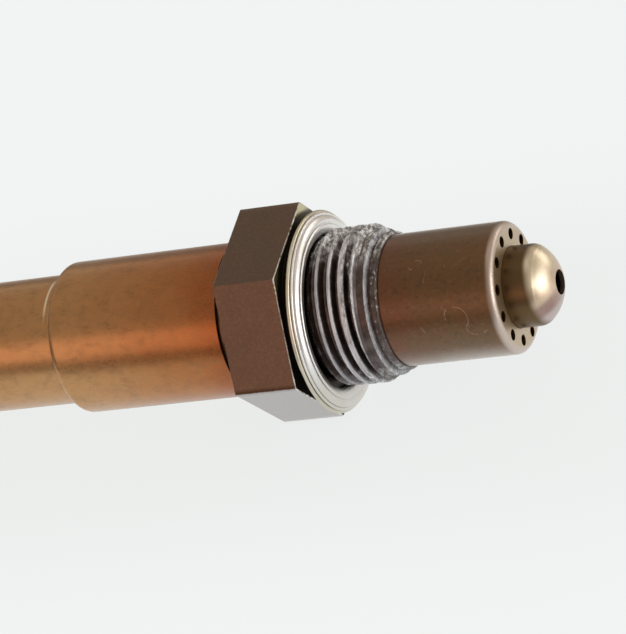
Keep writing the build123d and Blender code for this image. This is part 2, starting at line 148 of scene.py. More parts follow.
# ------------------------------------------------------------------ node wiring
class Wiring:
    """Adds nodes to one tree and joins them."""

    def __init__(self, tree):
        self.tree = tree

    def add(self, kind, **settings):
        node = self.tree.nodes.new(kind)
        for name, value in settings.items():
            setattr(node, name, value)
        return node

    def feed(self, socket, value):
        if isinstance(value, bpy.types.NodeSocket):
            self.tree.links.new(value, socket)
        elif value is not None:
            socket.default_value = value

    def put(self, kind, inputs=(), **settings):
        """A node with its inputs fed, by name or by number. Returns its outputs."""
        node = self.add(kind, **settings)
        pairs = inputs.items() if isinstance(inputs, dict) else enumerate(inputs)
        for key, value in pairs:
            self.feed(node.inputs[key], value)
        return node.outputs

    def math(self, operation, *values):
        return self.put("ShaderNodeMath", values, operation=operation)[0]

    def plus(self, first, second):
        return self.math("ADD", first, second)

    def minus(self, first, second):
        return self.math("SUBTRACT", first, second)

    def times(self, first, second):
        return self.math("MULTIPLY", first, second)

    def larger(self, first, second):
        return self.math("MAXIMUM", first, second)

    def smaller(self, first, second):
        return self.math("MINIMUM", first, second)

    def gap(self, first, second):
        """How far apart two values are."""
        return self.math("ABSOLUTE", self.minus(first, second))

    def diagonal(self, first, second):
        """The diagonal of two sides."""
        return self.math("SQRT", self.plus(self.times(first, first), self.times(second, second)))

    def vector(self, operation, *values):
        return self.put("ShaderNodeVectorMath", values, operation=operation)[0]

    def scaled(self, vector, factor):
        return self.put("ShaderNodeVectorMath", {0: vector, "Scale": factor}, operation="SCALE")[0]

    def towards(self, vector, direction):
        """How far a place lies in a direction."""
        return self.put("ShaderNodeVectorMath", (vector, direction), operation="DOT_PRODUCT")[1]

    def split(self, vector):
        return self.put("ShaderNodeSeparateXYZ", (vector,))

    def merge(self, x, y, z):
        return self.put("ShaderNodeCombineXYZ", (x, y, z))[0]

    def ramp(self, value, low, high, start=0.0, end=1.0, smooth=True):
        """From start at low to end at high, and level beyond them."""
        kind = "SMOOTHSTEP" if smooth else "LINEAR"
        return self.put("ShaderNodeMapRange", (value, low, high, start, end),
                        interpolation_type=kind)[0]

    def line(self, value, low, high, start=0.0, end=1.0):
        """A ramp that rises evenly."""
        return self.ramp(value, low, high, start, end, smooth=False)

    def clouds(self, vector, scale, detail, rough):
        """Noise as its two outputs, a value and a colour."""
        return self.put("ShaderNodeTexNoise", {"Vector": vector, "Scale": scale,
                                               "Detail": detail, "Roughness": rough})

    def noise(self, vector, scale, detail=3.0, rough=0.55):
        return self.clouds(vector, scale, detail, rough)[0]

    def streaky(self, vector, stretch, detail, rough):
        """Noise with its own scale along each axis."""
        return self.noise(self.vector("MULTIPLY", vector, stretch), 1.0, detail, rough)

    def centred_noise(self, *settings):
        return self.minus(self.noise(*settings), 0.5)

    def mix(self, factor, first, second):
        """Between two values."""
        return self.put("ShaderNodeMix", (factor, None, first, second), data_type="FLOAT")[0]

    def blend(self, factor, first, second):
        """Between two colours."""
        node = self.add("ShaderNodeMix", data_type="RGBA")
        for number, value in ((0, factor), (6, first), (7, second)):
            self.feed(node.inputs[number], rgba(value))
        return node.outputs[2]

    def stain(self, base, colour, mask, share):
        """Lays a colour over the base where the mask is, at a share of its strength."""
        return self.blend(self.times(mask, share), base, colour)

    def place(self, group, **inputs):
        """Places a shader node group. Returns its outputs."""
        node = self.add("ShaderNodeGroup", node_tree=group)
        for name, value in inputs.items():
            self.feed(node.inputs[name.replace("_", " ")], rgba(value))
        return node.outputs


def rgba(value):
    if isinstance(value, (tuple, list)) and len(value) == 3:
        return (*value, 1.0)
    if hasattr(value, "r"):
        return (value.r, value.g, value.b, 1.0)
    return value


def socket_kind(value):
    if isinstance(value, str):
        return value
    return {float: "NodeSocketFloat", int: "NodeSocketInt"}[type(value)]


def shader_group(name, inputs, outputs):
    """A node group for shaders, with its sockets, and the wiring to fill it in."""
    tree = bpy.data.node_groups.new(name, "ShaderNodeTree")
    for label, value in inputs.items():
        socket = tree.interface.new_socket(name=label, in_out="INPUT", socket_type=socket_kind(value))
        if not isinstance(value, str):
            socket.default_value = value
    for label, kind in outputs.items():
        tree.interface.new_socket(name=label, in_out="OUTPUT", socket_type=kind)
    wiring = Wiring(tree)
    taken = wiring.add("NodeGroupInput").outputs
    given = wiring.add("NodeGroupOutput").inputs
    return tree, wiring, taken, given


# ------------------------------------------------------------------ shared effects
# what each effect gives
MASK = {"Mask": "NodeSocketFloat"}
GRAIN = {"Height": "NodeSocketFloat", "Mask": "NodeSocketFloat"}


def round_the_axis():
    """Millimetres along the sensor and round it, from the side between -Y and +Z."""
    tree, w, taken, given = shader_group(
        "Round the axis", {"Radius": 8.0},
        {"Position": "NodeSocketVector", "Along": "NodeSocketFloat",
         "Around": "NodeSocketFloat", "Reach": "NodeSocketFloat",
         "Unrolled": "NodeSocketVector"})
    place = w.scaled(w.add("ShaderNodeTexCoord").outputs["Object"], 1000.0)
    x, y, z = w.split(place)
    angle = w.math("ARCTAN2", w.plus(y, z), w.minus(z, y))
    around = w.times(angle, taken["Radius"])
    for socket, value in (("Position", place), ("Along", x), ("Around", around),
                          ("Reach", w.diagonal(y, z)), ("Unrolled", w.merge(x, around, 0.0))):
        w.feed(given[socket], value)
    return tree


def blotches():
    """Soft uneven patches."""
    tree, w, taken, given = shader_group(
        "Blotches",
        {"Vector": "NodeSocketVector", "Scale": 0.3, "Low": 0.4, "High": 0.6, "Detail": 4.0}, MASK)
    cloud = w.noise(taken["Vector"], taken["Scale"], taken["Detail"], 0.6)
    w.feed(given["Mask"], w.ramp(cloud, taken["Low"], taken["High"]))
    return tree


def turned_grain():
    """Fine marks left round a drawn or turned surface."""
    tree, w, taken, given = shader_group(
        "Turned grain",
        {"Vector": "NodeSocketVector", "Lines per mm": 6.0, "Depth": 0.3, "Waves": 0.05}, GRAIN)
    x, y, z = w.split(taken["Vector"])
    stretched = w.merge(w.times(x, taken["Lines per mm"]), w.times(y, taken["Waves"]),
                        w.times(z, taken["Waves"]))
    lines = w.noise(stretched, 1.0, 3.0, 0.7)
    w.feed(given["Mask"], w.line(lines, 0.3, 0.7))
    w.feed(given["Height"], w.times(lines, taken["Depth"]))
    return tree


def satin_grain():
    """Fine pitting of a blasted or oxidised surface."""
    tree, w, taken, given = shader_group(
        "Satin grain", {"Vector": "NodeSocketVector", "Grains per mm": 5.0, "Depth": 0.3}, GRAIN)
    fine = w.noise(taken["Vector"], taken["Grains per mm"], 4.0, 0.65)
    w.feed(given["Mask"], w.line(fine, 0.35, 0.68))
    w.feed(given["Height"], w.times(fine, taken["Depth"]))
    return tree


def hairline_scratches():
    """Scattered hairline scratches on an unrolled surface."""
    tree, w, taken, given = shader_group(
        "Hairline scratches",
        {"Vector": "NodeSocketVector", "Scale": 0.5, "Width": 0.02, "Bend": 0.6, "Share": 0.45}, MASK)
    middle, fade = (0.5, 0.5, 0.5), 0.12
    drift = w.clouds(taken["Vector"], 0.35, 2.0, 0.5)[1]
    shifted = w.scaled(w.vector("SUBTRACT", drift, middle), taken["Bend"])
    cells = w.put("ShaderNodeTexVoronoi",
                  {"Vector": w.vector("ADD", taken["Vector"], shifted), "Scale": taken["Scale"]},
                  feature="DISTANCE_TO_EDGE")
    scratch = w.ramp(cells["Distance"], 0.0, taken["Width"], 1.0, 0.0)
    broken = w.noise(taken["Vector"], 0.55, 3.0, 0.6)
    low = w.minus(1.0, taken["Share"])
    w.feed(given["Mask"], w.times(scratch, w.ramp(broken, low, w.plus(low, fade))))
    return tree


def arc_scratch():
    """One curled scratch: part of a thin circle on an unrolled surface."""
    tree, w, taken, given = shader_group(
        "Arc scratch",
        {"Vector": "NodeSocketVector", "Centre X": 0.0, "Centre Y": 0.0, "Radius": 1.5,
         "Width": 0.05, "Turn": 0.0, "Sweep": 1.5}, MASK)
    fade = 0.25
    x, y = w.split(taken["Vector"])[:2]
    dx, dy = w.minus(x, taken["Centre X"]), w.minus(y, taken["Centre Y"])
    circle = w.ramp(w.gap(w.diagonal(dx, dy), taken["Radius"]), 0.0, taken["Width"], 1.0, 0.0)
    turned = w.minus(w.math("ARCTAN2", dy, dx), taken["Turn"])
    turned = w.math("ABSOLUTE", w.math("WRAP", turned, pi, -pi))
    inside = w.ramp(turned, w.minus(taken["Sweep"], fade), taken["Sweep"], 1.0, 0.0)
    patchy = w.ramp(w.noise(taken["Vector"], 3.0, 2.0), 0.35, 0.5)
    w.feed(given["Mask"], w.times(w.times(circle, inside), patchy))
    return tree


SHARED = {}


def shared(build):
    """A shared effect, built the first time that it is wanted."""
    if build.__name__ not in SHARED:
        SHARED[build.__name__] = build()
    return SHARED[build.__name__]


# ------------------------------------------------------------------ materials
def finish(name, radius, metallic=1.0):
    """A new material, its wiring, its shader's inputs, and its places round a radius in millimetres."""
    material = bpy.data.materials.new(name)
    material.use_nodes = True
    w = Wiring(material.node_tree)
    shader = next(n for n in material.node_tree.nodes if n.type == "BSDF_PRINCIPLED")
    shader.inputs["Metallic"].default_value = metallic
    return material, w, shader.inputs, w.place(shared(round_the_axis), Radius=radius)


def patches(w, spot, scale, low, high):
    """A mask of soft patches."""
    return w.place(shared(blotches), Vector=spot, Scale=scale, Low=low, High=high)["Mask"]


def grains(w, spot, per_mm):
    """The height and the mask of a satin grain."""
    return w.place(shared(satin_grain), Vector=spot, Grains_per_mm=per_mm, Depth=1.0)


def wandering(w, axis, scale, reach):
    """Millimetres along the sensor, shifted here and there by up to half the reach."""
    return w.plus(axis["Along"], w.times(w.centred_noise(axis["Position"], scale), reach))


def bump(w, inputs, height, distance):
    node = w.put("ShaderNodeBump", {"Height": height, "Distance": distance * MM})
    w.feed(inputs["Normal"], node[0])


def oxide(inputs, weight, rough, ior):
    """The thin clear oxide over a metal, which pales it where it is seen edge on."""
    inputs["Coat Weight"].default_value = weight
    inputs["Coat Roughness"].default_value = rough
    inputs["Coat IOR"].default_value = ior


def bloom(inputs, weight):
    """The powdery bloom of a scaled surface, seen only along its edges."""
    inputs["Sheen Weight"].default_value = weight
    inputs["Sheen Roughness"].default_value = 0.20


def dress(node, material):
    """Gives a CAD node its material."""
    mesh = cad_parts[node].data
    mesh.materials.clear()
    mesh.materials.append(material)


def sleeve_finish(colours):
    """Heat-tinted drawn sleeve: brass at the wires, copper at the hexagon."""
    heat_red, purple_stain, dust = (0.33, 0.082, 0.015), (0.22, 0.10, 0.05), (0.58, 0.34, 0.17)
    # the palest of these three is a painted highlight where the sleeve steps down
    dull_rub, copper_rub, fillet_highlight = (0.20, 0.105, 0.045), (0.60, 0.24, 0.085), (0.98, 0.84, 0.66)
    # where each heat colour starts and is full, along the sensor
    copper_span, red_span = (-34.0, -12.0), (-17.0, -10.5)
    # the painted highlight lines' middles along the sensor, and half their widths
    fillet_highlight_lines = ((-34.30, 0.20), (-33.62, 0.16))
    material, w, inputs, axis = finish("Sleeve, heat tinted", radius=8.9)
    spot = axis["Position"]
    along = wandering(w, axis, 0.22, 9.0)
    tint = w.blend(w.ramp(along, *copper_span), colours.sleeve_brass, colours.sleeve_copper)
    tint = w.blend(w.ramp(along, *red_span), tint, heat_red)
    tint = w.stain(tint, purple_stain, patches(w, spot, 0.55, 0.45, 0.75), 0.24)
    rub = w.streaky(spot, (0.7, 1.3, 1.3), 5.0, 0.72)
    tint = w.blend(w.ramp(rub, 0.46, 0.72, 0.0, 0.42), tint, dull_rub)
    tint = w.blend(w.ramp(rub, 0.44, 0.22, 0.0, 0.40), tint, copper_rub)
    grain = grains(w, spot, 3.5)
    tint = w.stain(tint, dust, grain["Mask"], 0.14)
    # painted highlights where the sleeve steps down, on one side only: the lamp's reflection on the
    # step, painted into the colour
    side = w.times(w.ramp(axis["Around"], 1.5, 5.0), w.ramp(axis["Around"], 10.5, 8.0))
    for at, half_width in fillet_highlight_lines:
        band = w.ramp(w.gap(axis["Along"], at), half_width, 0.4 * half_width)
        tint = w.stain(tint, fillet_highlight, w.times(band, side), 0.8)
    w.feed(inputs["Base Color"], tint)
    w.feed(inputs["Roughness"], w.plus(0.27, w.times(grain["Mask"], 0.10)))
    oxide(inputs, 0.3, 0.30, 1.5)
    bloom(inputs, 0.8)
    lines = w.place(shared(turned_grain), Vector=spot, Lines_per_mm=5.0, Depth=0.5)
    bump(w, inputs, w.plus(grain["Height"], lines["Height"]), 0.002)
    dress("rear_sleeve", material)


def hexagon_finish(colours):
    """Darkened steel of the hexagon, bright where the edges are worn."""
    brown_cloud, rust, pit = (0.074, 0.029, 0.008), (0.150, 0.088, 0.046), (0.040, 0.015, 0.004)
    # the neutral grey is a painted reflection of the pale floor on the lower flat
    dust, straw_face, floor_reflection_grey = (0.20, 0.125, 0.075), (0.62, 0.54, 0.28), (0.42, 0.41, 0.42)
    # the near-black is painted shade, for the deep shade between the hexagon and the ring
    painted_shade_black, bare_steel = (0.012, 0.008, 0.007), (0.80, 0.78, 0.76)
    lower_flat, apothem = (0.0, -0.8660254, -0.5), 11.0
    # where the front face starts, and the heights on it where straw and the painted shade are full
    front_face, straw_height, shade_height = (-2.30, -2.10), (7.8, 10.2), (8.8, 6.6)
    material, w, inputs, axis = finish("Hexagon steel", radius=apothem)
    spot = axis["Position"]
    z = w.split(spot)[2]
    worn = w.add("ShaderNodeAttribute", attribute_name="edge").outputs["Fac"]
    worn = w.times(worn, w.ramp(w.noise(spot, 1.6, 3.0), 0.30, 0.62))
    steel = w.blend(patches(w, spot, 0.35, 0.35, 0.70), colours.shell_steel, brown_cloud)
    mottle = w.noise(spot, 2.8, 5.0, 0.78)
    steel = w.blend(w.ramp(mottle, 0.46, 0.68, 0.0, 0.55), steel, rust)
    steel = w.blend(w.ramp(mottle, 0.44, 0.28, 0.0, 0.55), steel, pit)
    grain = grains(w, spot, 6.0)
    steel = w.stain(steel, dust, grain["Mask"], 0.20)
    # the front face: straw at its top, and black painted shade below and round the ring, where the ring
    # shades it
    ahead = w.ramp(axis["Along"], *front_face)
    steel = w.blend(w.times(ahead, w.ramp(z, *straw_height)), steel, straw_face)
    # the lower flat, which faces the floor, is painted paler: a painted reflection of the floor, kept
    # off the worn edges
    reflecting_flat = w.ramp(w.towards(spot, lower_flat), apothem - 0.045, apothem - 0.015)
    reflecting_flat = w.times(reflecting_flat, w.ramp(worn, 0.5, 0.2))
    steel = w.stain(steel, floor_reflection_grey, reflecting_flat, 0.45)
    shade_round_ring = w.ramp(axis["Reach"], 11.8, 11.3)
    soot = w.times(ahead, w.larger(w.ramp(z, *shade_height), shade_round_ring))
    steel = w.blend(soot, steel, painted_shade_black)
    w.feed(inputs["Base Color"], w.blend(worn, steel, bare_steel))
    rough = w.plus(0.30, w.times(grain["Mask"], 0.10))
    w.feed(inputs["Roughness"], w.minus(rough, w.times(worn, 0.05)))
    oxide(inputs, 1.0, 0.14, 1.49)
    # there is no clear oxide over the painted shade, so that it stays dark
    w.feed(inputs["Coat Weight"], w.minus(1.0, soot))
    bloom(inputs, 1.0)
    bump(w, inputs, w.plus(grain["Height"], mottle), 0.006)
    return material


def thread_finish():
    """Steel thread with grey assembly paste in its grooves."""
    dark_groove, grey_groove = (0.085, 0.064, 0.058), (0.150, 0.122, 0.116)
    dull_crest, bright_crest = (0.40, 0.40, 0.43), (0.88, 0.90, 1.00)
    dark_paste, pale_paste = (0.15, 0.14, 0.13), (0.90, 0.92, 0.98)
    material, w, inputs, axis = finish("Thread steel and paste", radius=9.0)
    spot = axis["Position"]
    crest = w.add("ShaderNodeAttribute", attribute_name="crest").outputs["Fac"]
    paste = w.add("ShaderNodeAttribute", attribute_name="paste").outputs["Fac"]
    grain = grains(w, spot, 7.0)
    streaks = w.place(shared(turned_grain), Vector=spot, Lines_per_mm=4.0, Depth=1.0, Waves=0.35)
    steel = w.blend(patches(w, spot, 0.8, 0.35, 0.70), dark_groove, grey_groove)
    # the crests are brighter towards the front, and painted lighter towards the top: painted light from
    # above
    forward = w.ramp(axis["Along"], 0.8, 3.4, 0.62, 1.0)
    painted_light_above = w.ramp(w.split(spot)[2], -6.5, 6.0, 0.72, 1.25)
    crest = w.times(crest, w.times(forward, painted_light_above))
    steel = w.blend(crest, steel, w.blend(streaks["Mask"], dull_crest, bright_crest))
    drag = w.streaky(spot, (3.4, 0.9, 0.9), 4.0, 0.72)
    grey = w.blend(w.ramp(drag, 0.40, 0.62), dark_paste, pale_paste)
    w.feed(inputs["Base Color"], w.blend(paste, steel, grey))
    w.feed(inputs["Metallic"], w.minus(1.0, w.times(w.larger(paste, crest), 0.65)))
    rough = w.plus(0.34, w.times(grain["Mask"], 0.12))
    w.feed(inputs["Roughness"], w.plus(rough, w.times(paste, 0.10)))
    bump(w, inputs, w.plus(streaks["Height"], w.times(grain["Height"], 0.4)), 0.02)
    return material


def ring_finish(colours):
    """Bright folded ring, a little yellowed at its outer fold."""
    warm_steel, straw_fold = (0.84, 0.82, 0.78), (0.66, 0.60, 0.44)
    low_side_grey, specked = (0.52, 0.48, 0.41), (0.55, 0.52, 0.48)
    rear_fold, low_side_span = (-0.62, -0.85), (5.5, 9.5)
    material, w, inputs, axis = finish("Ring steel", radius=10.0)
    spot = axis["Position"]
    steel = w.blend(patches(w, spot, 0.25, 0.40, 0.65), colours.ring_steel, warm_steel)
    steel = w.stain(steel, straw_fold, w.ramp(axis["Along"], *rear_fold), 0.8)
    # darker and greyer towards the low side
    steel = w.blend(w.ramp(w.towards(spot, LOW_SIDE), *low_side_span, 0.0, 0.6), steel, low_side_grey)
    grain = grains(w, spot, 4.0)
    w.feed(inputs["Base Color"], w.stain(steel, specked, grain["Mask"], 0.15))
    w.feed(inputs["Roughness"], w.plus(0.33, w.times(grain["Mask"], 0.10)))
    dents = w.times(w.noise(spot, 0.8, 2.0), 8.0)
    bump(w, inputs, w.plus(grain["Height"], dents), 0.004)
    return material


def tube_finish(colours):
    """Heat-browned outer protection tube with hairline scratches."""
    heat_red, olive, soot = (0.148, 0.043, 0.008), (0.100, 0.058, 0.014), (0.050, 0.018, 0.006)
    # the pale for the underside is a painted reflection of the pale floor
    wiped, floor_reflection_pale, dust = (0.24, 0.15, 0.085), (0.44, 0.37, 0.31), (0.26, 0.16, 0.09)
    straw_face, grey_rim, scratched = (0.50, 0.37, 0.22), (0.56, 0.46, 0.40), (0.60, 0.46, 0.34)
    underside = (0.0, -0.62, -0.78)
    # where each starts and is full, along the sensor or out from its axis
    red_span, reflection_span, rim_span, face_span = (14.0, 8.5), (9.0, 17.0), (20.9, 21.6), (21.76, 21.84)
    rim_reach, grey_reach, reflection_reach = (6.50, 6.75), (6.4, 7.1), (5.4, 7.3)
    # each curled scratch: its centre along and round the tube, radius, middle angle, half sweep
    curls = (
        (16.95, -3.25, 1.42, 0.35, 1.35), (17.10, -2.85, 1.38, 2.90, 0.70),
        (18.90, -4.42, 1.05, 3.98, 0.85), (6.90, 2.90, 7.00, -0.16, 0.20),
        (27.0, -9.3, 15.40, 2.18, 0.12), (12.70, 1.60, 5.40, 1.47, 0.18),
        (12.90, 3.55, 0.50, 1.20, 1.10), (12.20, 3.30, 0.34, 4.10, 1.20),
        (20.05, -5.35, 0.30, 2.40, 1.30), (11.30, -4.70, 1.60, 0.40, 0.35),
    )
    material, w, inputs, axis = finish("Outer tube, heat browned", radius=7.5)
    spot = axis["Position"]
    along = wandering(w, axis, 0.3, 6.0)
    brown = w.blend(w.ramp(along, *red_span), colours.tube_bronze, heat_red)
    brown = w.stain(brown, olive, patches(w, spot, 0.5, 0.40, 0.75), 0.5)
    brown = w.stain(brown, soot, patches(w, spot, 1.7, 0.50, 0.72), 0.55)
    wipe = w.streaky(spot, (1.5, 2.4, 2.4), 4.0, 0.7)
    brown = w.blend(w.ramp(wipe, 0.50, 0.78, 0.0, 0.40), brown, wiped)
    # the underside is painted paler, fuller towards the front: a painted reflection of the floor
    under = w.ramp(w.towards(spot, underside), *reflection_reach)
    under = w.times(under, w.ramp(along, *reflection_span, 0.35, 1.0))
    brown = w.stain(brown, floor_reflection_pale, under, 0.55)
    rim = w.times(w.ramp(axis["Along"], *rim_span), w.ramp(axis["Reach"], *rim_reach))
    face = w.larger(rim, w.ramp(axis["Along"], *face_span))
    front = w.blend(w.ramp(axis["Reach"], *grey_reach), straw_face, grey_rim)
    brown = w.blend(face, brown, front)
    grain = grains(w, spot, 5.0)
    brown = w.stain(brown, dust, grain["Mask"], 0.12)
    hair = w.place(shared(hairline_scratches), Vector=axis["Unrolled"], Scale=0.28, Width=0.010)
    marks = w.times(hair["Mask"], 0.25)
    for x, y, radius, turn, sweep in curls:
        curl = w.place(shared(arc_scratch), Vector=axis["Unrolled"], Centre_X=x, Centre_Y=y,
                       Radius=radius, Width=0.09, Turn=turn, Sweep=sweep)
        marks = w.larger(marks, w.times(curl["Mask"], 0.7))
    w.feed(inputs["Base Color"], w.stain(brown, scratched, marks, 0.5))
    w.feed(inputs["Roughness"], w.plus(0.38, w.times(grain["Mask"], 0.12)))
    oxide(inputs, 0.9, 0.34, 1.48)
    bloom(inputs, 0.9)
    bump(w, inputs, grain["Height"], 0.004)
    dress("outer_protection_tube", material)


def dome_finish(colours):
    """Straw-coloured inner tube, darker on its straight wall."""
    # the violet is partly heat tint, partly painted shade
    lit_straw, shaded_straw, violet_and_shade = (0.74, 0.65, 0.49), (0.50, 0.42, 0.40), (0.31, 0.19, 0.17)
    warm_cloud, wall_brown, dust = (0.55, 0.38, 0.30), (0.138, 0.086, 0.042), (0.80, 0.70, 0.58)
    # heights where the straw is lit and shaded, and between which the violet band lies
    lit_height, shaded_height = (1.4, 3.0), (0.3, -1.2)
    band_top, band_bottom, band_middle = (0.9, -0.1), (-1.9, -0.9), (25.9, -3.3, -0.6)
    dome_start = (24.5, 25.4)
    material, w, inputs, axis = finish("Inner tube, straw", radius=4.6)
    spot = axis["Position"]
    z = w.split(spot)[2]
    straw = w.blend(w.ramp(z, *lit_height), colours.dome_gold, lit_straw)
    straw = w.blend(w.ramp(z, *shaded_height), straw, shaded_straw)
    # a violet band low on the dome, strongest at its side: partly heat tint, partly painted shade for a
    # dark reflection
    band = w.times(w.ramp(z, *band_top), w.ramp(z, *band_bottom))
    away = w.put("ShaderNodeVectorMath", (spot, band_middle), operation="DISTANCE")[1]
    straw = w.blend(w.times(band, w.ramp(away, 3.2, 0.8, 0.25, 0.95)), straw, violet_and_shade)
    straw = w.stain(straw, warm_cloud, patches(w, spot, 0.8, 0.40, 0.70), 0.20)
    dome = w.ramp(w.plus(axis["Along"], w.times(z, 0.08)), *dome_start)
    straw = w.blend(dome, wall_brown, straw)
    grain = grains(w, spot, 5.0)
    w.feed(inputs["Base Color"], w.stain(straw, dust, grain["Mask"], w.times(dome, 0.12)))
    w.feed(inputs["Roughness"], w.plus(0.32, w.times(grain["Mask"], 0.10)))
    bump(w, inputs, grain["Height"], 0.004)
    dress("inner_protection_tube", material)


def plain_finish(name, nodes, dark, pale, rough, metallic=0.0, per_mm=3.0, depth=0.01):
    """A two-tone grained finish for the pieces inside and for the rubber."""
    rougher = 0.12
    material, w, inputs, axis = finish(name, 5.0, metallic)
    spot = axis["Position"]
    grain = grains(w, spot, per_mm)
    tone = w.plus(w.times(grain["Mask"], 0.5), w.times(patches(w, spot, 0.5, 0.35, 0.70), 0.5))
    w.feed(inputs["Base Color"], w.blend(tone, dark, pale))
    w.feed(inputs["Roughness"], w.line(tone, 0.0, 1.0, rough, rough + rougher))
    bump(w, inputs, grain["Height"], depth)
    for node in nodes:
        dress(node, material)


# ------------------------------------------------------------------ mesh helpers
def smooth_mesh(mesh, angle):
    """Smooth shading, with the edges over an angle in degrees kept sharp."""
    mesh.polygons.foreach_set("use_smooth", [True] * len(mesh.polygons))
    mesh.set_sharp_from_angle(angle=radians(angle))


def finished_mesh(name, work, angle):
    """A mesh from an edited one, which is used up."""
    mesh = bpy.data.meshes.new(name)
    work.to_mesh(mesh)
    work.free()
    smooth_mesh(mesh, angle)
    return mesh


def skin(work, rings):
    """Faces from each closed ring of corners to the next, and from the last to the first."""
    for one, two in zip(rings, rings[1:] + rings[:1]):
        for i in range(len(one)):
            j = (i + 1) % len(one)
            work.faces.new((one[i], one[j], two[j], two[i]))
    bmesh.ops.recalc_face_normals(work, faces=work.faces)


def add_piece(name, mesh, slot, *nodes):
    """Links a finished mesh, lets it ride, and has it stand for its CAD nodes."""
    piece = bpy.data.objects.new(name, mesh)
    bpy.context.scene.collection.objects.link(piece)
    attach(piece, "root")
    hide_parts(*nodes)


# ------------------------------------------------------------------ hexagon
def hexagon_reach(angle, apothem):
    """Distance from the axis to a hexagon with flats at the top and bottom."""
    from_flat = (angle + pi / 6 - pi / 2) % (pi / 3) - pi / 6
    return apothem / cos(from_flat)


def hexagon_mesh(sizes):
    """The hexagon, its washer face, the collar behind it and the neck in front."""
    apothem, edge = sizes.across_flats / 2, sizes.edge_break
    back, front, neck = sizes.hexagon_back, sizes.hexagon_front, sizes.neck_diameter / 2
    collar_back, collar_shoulder, collar_rim, collar = -11.40 * MM, -11.30 * MM, 8.35 * MM, 8.45 * MM
    recess, bore = 9.6 * MM, 7.6 * MM
    washer_root, washer_rim, washer_front = 10.3 * MM, 10.2 * MM, front + 0.90 * MM
    neck_front, front_rim = 0.0, 0.10 * MM
    # each station: its place along the sensor, and its radius or None for the hexagon
    stations = [
        (collar_back, bore), (collar_back, collar_rim), (collar_shoulder, collar),
        (back, collar), (back, recess), (back, None),
        (front, None), (front, washer_root),
        (washer_front, washer_rim), (washer_front, neck), (neck_front, neck), (front_rim, bore),
    ]
    back_rim, face_rim = (n for n, station in enumerate(stations) if station[1] is None)
    # corners stand round the axis every few degrees, from a long edge on
    per_side, first_edge, between = 20, 60.0, 3.0
    count = 6 * per_side
    angles = [radians(first_edge + between * step) for step in range(count)]
    work = bmesh.new()
    worn = work.faces.layers.float.new("edge")
    rings = []
    for x, radius in stations:
        ring = []
        for angle in angles:
            r = radius or hexagon_reach(angle, apothem)
            ring.append(work.verts.new((x, r * cos(angle), r * sin(angle))))
        rings.append(ring)
    skin(work, rings)
    rim = []
    for ring in (rings[back_rim], rings[face_rim]):
        rim += [work.edges.get((ring[i], ring[(i + 1) % count])) for i in range(count)]
    # the first side ends at the long edge between the top flat and the camera's, which stays sharp
    long_edges = [i for i in range(0, count, per_side) if i != per_side]
    rim += [work.edges.get((rings[back_rim][i], rings[face_rim][i])) for i in long_edges]
    made = bmesh.ops.bevel(work, geom=rim, offset=edge, offset_type="OFFSET", segments=2,
                           profile=0.5, affect="EDGES", clamp_overlap=True)
    bright, dull = 1.0, 0.22
    for face in made["faces"]:
        face[worn] = bright if face.calc_center_median().x > front - 2.0 * edge else dull
    return finished_mesh("shell_hexagon", work, 20.0)


# ------------------------------------------------------------------ sealing ring
def ring_mesh(sizes):
    """The folded ring: a rear fold, a thin fold over it, a full front roll and an inner roll."""
    # along the sensor and out from its axis, in millimetres
    rear_fold = [(-1.25, 9.05), (-1.25, 11.40), (-1.19, 11.58), (-1.04, 11.65), (-0.90, 11.61),
                 (-0.82, 11.49), (-0.80, 11.39)]
    thin_fold = [(-0.84, 11.10), (-0.79, 11.10), (-0.76, 11.31), (-0.68, 11.38), (-0.60, 11.37),
                 (-0.53, 11.30), (-0.49, 11.20), (-0.49, 11.10), (-0.53, 10.97)]
    front_roll = [(-0.49, 10.96), (-0.43, 11.02), (-0.35, 10.98), (-0.28, 10.90), (-0.22, 10.81),
                  (-0.16, 10.72), (-0.11, 10.63), (-0.07, 10.54), (-0.04, 10.44), (-0.03, 10.32),
                  (-0.05, 10.20), (-0.12, 10.10)]
    inner_roll = [(-0.12, 10.05), (-0.07, 9.98), (-0.02, 9.90), (0.00, 9.81), (-0.01, 9.66),
                  (-0.05, 9.42), (-0.13, 9.16), (-0.27, 8.94), (-0.50, 8.80), (-0.80, 8.76),
                  (-1.05, 8.80), (-1.20, 8.92)]
    corners = rear_fold + thin_fold + front_roll + inner_roll
    # the loose ring hangs a little low on the neck, and its folds are not quite even
    hang = Vector(LOW_SIDE) * sizes.ring_play
    # each wave: its height in millimetres, how many go round the ring, and where it starts
    waves = ((0.020, 3, 0.6), (0.012, 7, 0.0), (0.006, 17, 1.0))
    uneven_depth, lengthways, rear_share = 0.9, 1.4, 0.5
    count = 288
    work = bmesh.new()
    rings = []
    for step in range(count):
        angle = 2 * pi * step / count
        wave = sum(height * sin(turns * angle + start) for height, turns, start in waves)
        ring = []
        for x, r in corners:
            front = max(0.0, (x + uneven_depth) / uneven_depth)
            px, pr = min(x + wave * front * lengthways, 0.0), r + wave * (rear_share + front)
            ring.append(work.verts.new(Vector((px, pr * cos(angle), pr * sin(angle))) * MM + hang))
        rings.append(ring)
    skin(work, rings)
    return finished_mesh("folded_ring", work, 60.0)


